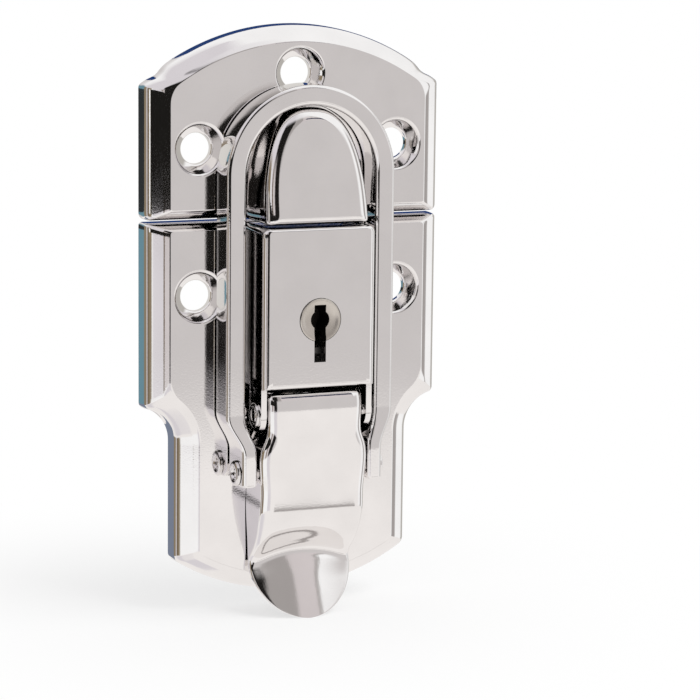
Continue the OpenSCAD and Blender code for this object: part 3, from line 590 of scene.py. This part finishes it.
def lever_ring(u):
    lip = smooth((u - lever_fold - 0.2) / 2.7)
    w = along(half_table, u)
    if u > lip_root:
        w = max(0.3, lip_half * math.sqrt(max(0, 1 - ((u - lip_root) / (lever_tip - lip_root)) ** 2)))
    inner = inner_at(u, w)
    back = min(along(back_table, u), inner)
    flange = back + (inner - back) * lip
    wall = min(lever_sheet, w * 0.5)
    corner = min(1.5 + (min(0.4, w * 0.3) - 1.5) * lip, (face_at(u, w) - flange) * 0.8)
    corner_w = corner * (1.5 - 0.5 * lip)
    right = [(w, flange)]
    for t in range(0, 91, 9):
        x = w - corner_w * (1 - math.cos(math.radians(t)))
        right.append((x, face_at(u, x) - corner * (1 - math.sin(math.radians(t)))))
    span = right[-1][0]
    right += [(span * i / 12, face_at(u, span * i / 12)) for i in range(11, 0, -1)]
    outer = right + [(0, face_at(u, 0))] + [(-x, y) for x, y in reversed(right)]
    inner_span = w - max(corner_w, wall * 1.3)
    edge = wall + (wall * 0.3 - wall) * lip
    bend = 0.5 + (0.02 - 0.5) * lip
    left = [(-w + edge, flange), (-w + wall, inner - bend), (-w + wall * 1.15, inner - bend * 0.3)]
    left += [(inner_span * i / 6, inner_at(u, inner_span * i / 6)) for i in range(-6, 0)]
    inside = left + [(0, inner_at(u, 0))] + [(-x, y) for x, y in reversed(left)]
    return [at(x, y, pivot_z - u) for x, y in outer + inside]


bm = bmesh.new()
stations = [-lever_top + 0.12 * i for i in range(18)] + [-2 + 0.4 * i for i in range(46)]
stations += [crease + 0.2 * i for i in range(52)]
stations += [lip_root + (lever_tip - lip_root) * math.sin(math.radians(90 * i / 40)) for i in range(1, 41)]
stations = sorted(set(round(u, 4) for u in stations))
first = start_loop(bm, lever_ring(stations[0]))
loop = first
for u in stations[1:]:
    loop = pull(bm, loop, lever_ring(u))
for end in (first, loop):
    bmesh.ops.triangle_fill(bm, edges=loop_edges(bm, end), use_beauty=True, normal=(0, 0, 1))
bmesh.ops.recalc_face_normals(bm, faces=bm.faces)
web_z = pivot_z + lever_top - 1.25 * lever_sheet
add_box(bm, -4, 4, 9.5, lever_rise - 1.4, web_z, web_z + lever_sheet, 0.2)
add_box(bm, -4, 4, 9.5, 10.5, web_z + 0.05, pivot_z + tongue_h, 0.2)
add_piece("lever_pressed", bm, plated_steel, "lever", ["lever"])

# Bail rivets: tubular rivets of plated steel, one on each side, which the loop turns on.
# They go through the lever's flanges and are spread over the ears of the loop.
rivet_z = 22.7
rivet_rise = 10.4
rivet_r = 1.2
rivet_head_r = 2.15
for name, side in [("bail_rivet_left", -1), ("bail_rivet_right", 1)]:
    low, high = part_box(name)
    tip = max(abs(low.x), abs(high.x)) / MM
    root = min(abs(low.x), abs(high.x)) / MM
    bm = bmesh.new()
    lathe(bm, [(0, root), (rivet_r, root), (rivet_r, tip - 0.6), (rivet_head_r, tip - 0.6),
               (rivet_head_r, tip - 0.32), (rivet_head_r - 0.08, tip - 0.15),
               (rivet_head_r - 0.3, tip - 0.02), (rivet_head_r - 0.45, tip), (rivet_r + 0.15, tip),
               (rivet_r, tip - 0.06),
               (rivet_r - 0.2, tip - 0.3), (rivet_r - 0.3, tip - 0.7), (rivet_r - 0.3, tip - 1.6),
               (0, tip - 1.6)],
          at(0, rivet_rise, rivet_z), Vector((side, 0, 0)), Vector((0, 0, 1)), 48)
    add_piece(name + "_turned", bm, pin_steel, "lever", [name], 28)

# Bail: the draw loop, an inverted U of pressed channel, open to the back, with its lower ends jogged in and
# forward to the ears that the rivets hold.
bail_low, bail_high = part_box("bail")
bail_strip = 3.4
ear_strip = 2.6
bail_out = bail_high.x / MM
bail_in = bail_out - bail_strip
bail_top = bail_high.z / MM
bail_centre_z = bail_top - bail_out
bail_rise = 12.1
bail_back = 6.6
bail_sheet = 0.9
edge_r = 0.75
wall_bow = 0.1
tip_r = 0.4
ear_in = 9.9
ear_rise = 13.5
ear_end = bail_low.z / MM
ear_back_r = 3
jog_top = 32.5
jog_low = 26.1


def bail_ring(z, turn):
    t = smooth((jog_top - z) / (jog_top - jog_low))
    x = bail_in + (ear_in - bail_in) * t
    front = bail_rise + (ear_rise - bail_rise) * t
    out = x + bail_strip + (ear_strip - bail_strip) * t
    tip = min(1, max(0, 1 - (z - ear_end) / tip_r))
    shrink = tip_r * (1 - math.sqrt(1 - tip * tip))
    x, out, front = x + shrink, out - shrink, front - shrink
    web = front - bail_sheet
    near_end = ear_back_r - (z - ear_end)
    back = bail_back
    if near_end > 0:
        back += ear_back_r - math.sqrt(max(0, ear_back_r ** 2 - near_end ** 2))
    back = min(back, web - 0.05)
    hollow_in, hollow_out = x + bail_sheet, out - bail_sheet
    section = [(x + 0.1, back), (hollow_in - 0.1, back), (hollow_in, back + 0.1), (hollow_in, web - 0.3),
               (hollow_in + 0.3, web), (hollow_out - 0.3, web), (hollow_out, web - 0.3),
               (hollow_out, back + 0.1), (hollow_out + 0.1, back), (out - 0.1, back), (out, back + 0.1)]
    wall = front - edge_r - back - 0.1
    section += [(out + wall_bow * math.sin(math.pi * i / 8), back + 0.1 + wall * i / 8) for i in range(1, 8)]
    section += arc(out - edge_r, front - edge_r, edge_r, 0, 90, 8)
    section += arc(x + edge_r, front - edge_r, edge_r, 90, 180, 8) + [(x, back + 0.1)]
    spread, lift = math.cos(math.radians(turn)), math.sin(math.radians(turn))
    return [at(px * spread, rise, z + px * lift) for px, rise in section]


bm = bmesh.new()
leg = [ear_end + d for d in (0, 0.03, 0.08, 0.15, 0.25, 0.4, 0.8, 1.3, 2, 3, 4.2, 5)]
leg += [jog_low + (jog_top - jog_low) * i / 20 for i in range(21)]
leg += [jog_top + 0.3, jog_top + 1.2, 45, bail_centre_z - 1.2, bail_centre_z - 0.3]
path = [(z, 180) for z in leg] + [(bail_centre_z, 180 - 180 * i / 72) for i in range(73)]
path += [(z, 0) for z in reversed(leg)]
first = start_loop(bm, bail_ring(*path[0]))
loop = first
for z, turn in path[1:]:
    loop = pull(bm, loop, bail_ring(z, turn))
for end in (first, loop):
    bmesh.ops.triangle_fill(bm, edges=loop_edges(bm, end), use_beauty=True, normal=(0, 0, 1))
bmesh.ops.recalc_face_normals(bm, faces=bm.faces)
add_piece("bail_pressed", bm, plated_steel, "loop", ["bail"])

# Camera: a long lens to the left of the latch and a little above it, as the photograph was taken,
# turned a touch about its own axis so that the plates stand as upright as they do there.
aim = Vector((9.38, 0, 44.75))
turn, lift, tilt, distance = math.radians(22), math.radians(9.29), math.radians(0.61), 483.61
back = Vector((-math.sin(turn) * math.cos(lift), -math.cos(turn) * math.cos(lift), math.sin(lift)))
right = Vector((math.cos(turn), -math.sin(turn), 0))
up = back.cross(right)
sideways = right * math.cos(tilt) + up * math.sin(tilt)
upright = up * math.cos(tilt) - right * math.sin(tilt)
view = bpy.data.cameras.new("camera")
view.sensor_width = 36
view.lens = 144.3
view.shift_x = 0.0193
view.shift_y = -0.033
view.clip_start = 0.01
camera = bpy.data.objects.new("camera", view)
stand = (aim + back * distance) * MM
camera.matrix_world = (Matrix.Translation(stand)
                       @ Matrix((sideways, upright, back)).transposed().to_4x4())
bpy.context.collection.objects.link(camera)
bpy.context.scene.camera = camera

# Studio: white paper under and behind the latch. What the plating mirrors is a room around it, made of plain
# coloured areas: a grey wall in front, dark corners and a window to the left, a pale table, a white ceiling.
floor_z = min(base_low.z, lever_low.z)
white = (1, 1, 1)
wall_grey = (0.64, 0.612, 0.606)
table_pale = (0.93, 0.9, 0.88)
cloud = (0.74, 0.71, 0.74)
pink = (0.68, 0.63, 0.63)
shade_blue = (0.15, 0.28, 0.34)
deep_blue = (0.02, 0.05, 0.17)
room_black = (0.012, 0.011, 0.01)
room_brown = (0.14, 0.1, 0.06)
tan = (0.27, 0.215, 0.145)
paper_tan = (0.5, 0.48, 0.45)
shelf_grey = (0.4, 0.375, 0.365)
# Turn from straight ahead, in degrees and positive to the right, and what is seen there
around = [(-180, wall_grey), (-164, wall_grey), (-161, shade_blue), (-146, shade_blue), (-138, tan),
          (-118, tan), (-106, cloud), (-97, room_brown), (-86, tan), (-72, tan), (-66, white), (-60, cloud),
          (-52, cloud), (-49, room_brown), (-45, room_brown), (-42, pink), (-35, pink), (-31, room_black),
          (-14, room_black), (-9, wall_grey), (50, wall_grey), (62, white), (71, white), (76, shelf_grey),
          (83, shelf_grey), (92, white), (104, white), (111, paper_tan), (146, paper_tan), (152, wall_grey),
          (180, wall_grey)]
above = [(-180, white), (-110, cloud), (-48, cloud), (-42, room_black), (-6, room_black), (-3, shelf_grey),
         (15.5, shelf_grey), (17, pink), (31, pink), (32.5, shelf_grey), (33.5, shelf_grey), (35, white),
         (180, white)]
ceiling = [(-180, white), (-120, cloud), (-20, cloud), (40, white), (180, white)]
below = [(-180, wall_grey), (-164, wall_grey), (-161, shade_blue), (-146, shade_blue), (-138, tan),
         (-118, tan), (-106, cloud), (-97, room_brown), (-86, tan), (-80, tan), (-70, white), (-36, white),
         (-31, cloud), (-16, cloud), (-9, table_pale), (50, table_pale), (62, white), (71, white),
         (76, shelf_grey), (83, shelf_grey), (92, white), (104, white), (111, paper_tan), (146, paper_tan),
         (152, wall_grey), (180, wall_grey)]
table_edge = [(-180, table_pale), (12, table_pale), (16, shelf_grey), (32, shelf_grey), (36, table_pale),
              (180, table_pale)]
table_top = [(-180, table_pale), (-125, table_pale), (-95, cloud), (-70, cloud), (-45, table_pale),
             (180, table_pale)]


def colours_by_turn(tree, turn, seen):
    node = tree.nodes.new("ShaderNodeValToRGB")
    spots = node.color_ramp.elements
    for i, (degrees, colour) in enumerate(seen):
        place = (degrees + 180) / 360
        spot = spots[0] if i == 0 else spots[-1] if i == len(seen) - 1 else spots.new(place)
        spot.position = place
        spot.color = (*colour, 1)
    tree.links.new(turn, node.inputs["Fac"])
    return node.outputs["Color"]


def eased(tree, value, low, high):
    node = tree.nodes.new("ShaderNodeMapRange")
    node.interpolation_type = "SMOOTHSTEP"
    node.inputs["From Min"].default_value = low
    node.inputs["From Max"].default_value = high
    tree.links.new(value, node.inputs["Value"])
    return node.outputs["Result"]


def blended(tree, share, first, second):
    node = add_node(tree, "ShaderNodeMix", data_type="RGBA")
    tree.links.new(share, node.inputs[0])
    for socket, colour in ((node.inputs[6], first), (node.inputs[7], second)):
        if isinstance(colour, tuple):
            socket.default_value = (*colour, 1)
        else:
            tree.links.new(colour, socket)
    return node.outputs[2]


world = bpy.data.worlds.new("studio")
bpy.context.scene.world = world
world.use_nodes = True
tree = world.node_tree
tree.nodes.clear()
out = tree.nodes.new("ShaderNodeOutputWorld")
sky = tree.nodes.new("ShaderNodeBackground")
split = tree.nodes.new("ShaderNodeSeparateXYZ")
tree.links.new(tree.nodes.new("ShaderNodeTexCoord").outputs["Generated"], split.inputs["Vector"])
ahead = add_node(tree, "ShaderNodeMath", operation="MULTIPLY")
ahead.inputs[1].default_value = -1
tree.links.new(split.outputs["Y"], ahead.inputs[0])
turn_to = add_node(tree, "ShaderNodeMath", operation="ARCTAN2")
tree.links.new(split.outputs["X"], turn_to.inputs[0])
tree.links.new(ahead.outputs["Value"], turn_to.inputs[1])
turn_share = tree.nodes.new("ShaderNodeMapRange")
turn_share.inputs["From Min"].default_value = -math.pi
turn_share.inputs["From Max"].default_value = math.pi
tree.links.new(turn_to.outputs["Value"], turn_share.inputs["Value"])
room = colours_by_turn(tree, turn_share.outputs["Result"], around)
# What is seen higher up or lower down, and the sines of the angles over which it takes over
for seen, start, end in [(above, 0.3, 0.5), (ceiling, 0.75, 0.88), (below, -0.18, -0.21),
                         (table_edge, -0.37, -0.39), (table_top, -0.43, -0.46)]:
    room = blended(tree, eased(tree, split.outputs["Z"], start, end), room,
                   colours_by_turn(tree, turn_share.outputs["Result"], seen))
path_kind = tree.nodes.new("ShaderNodeLightPath")
tree.links.new(blended(tree, path_kind.outputs["Is Glossy Ray"], white, room), sky.inputs["Color"])
strength = tree.nodes.new("ShaderNodeMapRange")
strength.inputs["To Min"].default_value = 1
strength.inputs["To Max"].default_value = 0.7
tree.links.new(path_kind.outputs["Is Diffuse Ray"], strength.inputs["Value"])
tree.links.new(strength.outputs["Result"], sky.inputs["Strength"])
tree.links.new(sky.outputs["Background"], out.inputs["Surface"])


def screen(name, foot, low, high, colour):
    mesh = bpy.data.meshes.new(name)
    count = len(foot)
    mesh.from_pydata([(x, y, z) for z in (low, high) for x, y in foot], [],
                     [(i, i + 1, count + i + 1, count + i) for i in range(count - 1)])
    piece = bpy.data.objects.new(name, mesh)
    bpy.context.collection.objects.link(piece)
    material = bpy.data.materials.new(name)
    material.use_nodes = True
    tree = material.node_tree
    tree.nodes.clear()
    out = tree.nodes.new("ShaderNodeOutputMaterial")
    glow = add_node(tree, "ShaderNodeEmission", Color=(*colour, 1))
    tree.links.new(glow.outputs["Emission"], out.inputs["Surface"])
    mesh.materials.append(material)
    piece.visible_camera = False
    piece.visible_diffuse = False
    piece.visible_shadow = False
    piece.visible_transmission = False


# Cards that only some pieces mirror: a dark cupboard and a strip of window down to where the keeper sees
# them, an alcove, a skirting board and blue dusk behind, and white paper behind three of the screw holes
cupboard_z = 0.0405
screen("cupboard", [(-0.222, -0.052), (-0.2, -0.105), (-0.115, -0.19)], cupboard_z, 0.11, room_black)
screen("window_strip", [(-0.226, -0.018), (-0.223, -0.046)], cupboard_z, 0.11, white)
screen("alcove", [(-0.115, 0.1), (-0.03, 0.1)], 0.0505, 0.08, (0.03, 0.034, 0.036))
screen("skirting", [(-0.115, 0.1), (-0.03, 0.1)], -0.07, 0.0045, (0.2, 0.23, 0.3))
screen("dusk", [(-0.01, 0.15), (0.13, 0.15)], 0.07, 0.17, deep_blue)
for i, (x, z) in enumerate([base_holes[0], keeper_holes[0], keeper_holes[2]]):
    screen("hole_paper_%d" % i, [((x - 3.2) * MM, 0.0012), ((x + 3.2) * MM, 0.0012)], (z - 3.4) * MM,
           (z + 3.4) * MM, (0.72, 0.7, 0.67))
screen("lamp_shade", [(0.13, -0.38), (0.25, -0.38)], 0.34, 0.44, (0.02, 0.03, 0.07))

floor_mesh = bpy.data.meshes.new("floor")
corners = ((-1, -0.65), (1, -0.65), (1, 1), (-1, 1))
floor_mesh.from_pydata([(x, y, floor_z) for x, y in corners], [], [(0, 1, 2, 3)])
floor = bpy.data.objects.new("floor", floor_mesh)
bpy.context.collection.objects.link(floor)
floor.visible_glossy = False
floor_paper = bpy.data.materials.new("floor_paper")
floor_paper.use_nodes = True
tree = floor_paper.node_tree
tree.nodes.clear()
out = tree.nodes.new("ShaderNodeOutputMaterial")
matt = add_node(tree, "ShaderNodeBsdfDiffuse", Color=(0.9, 0.9, 0.9, 1))
glow = add_node(tree, "ShaderNodeEmission", Color=(1, 1, 1, 1))
blend = tree.nodes.new("ShaderNodeMixShader")
far = add_node(tree, "ShaderNodeVectorMath", operation="DISTANCE")
far.inputs[1].default_value = (0, 0, floor_z)
tree.links.new(tree.nodes.new("ShaderNodeTexCoord").outputs["Object"], far.inputs[0])
ramp = tree.nodes.new("ShaderNodeMapRange")
ramp.interpolation_type = "SMOOTHSTEP"
ramp.inputs["From Min"].default_value = 0.02
ramp.inputs["From Max"].default_value = 0.09
ramp.inputs["To Min"].default_value = 0.6
tree.links.new(far.outputs["Value"], ramp.inputs["Value"])
tree.links.new(ramp.outputs["Result"], blend.inputs["Fac"])
tree.links.new(matt.outputs["BSDF"], blend.inputs[1])
tree.links.new(glow.outputs["Emission"], blend.inputs[2])
tree.links.new(blend.outputs["Shader"], out.inputs["Surface"])
floor_mesh.materials.append(floor_paper)

lamp = bpy.data.lights.new("soft_lamp", "AREA")
lamp.energy = 3
lamp.shape = "RECTANGLE"
lamp.size = 0.5
lamp.size_y = 0.35
soft_lamp = bpy.data.objects.new("soft_lamp", lamp)
facing = Vector((0.35, -0.35, 0.55)).to_track_quat("Z", "Y").to_matrix().to_4x4()
soft_lamp.matrix_world = Matrix.Translation((0.35, -0.35, 0.6)) @ facing
bpy.context.collection.objects.link(soft_lamp)
soft_lamp.visible_glossy = False
bpy.context.scene.view_settings.view_transform = "Standard"
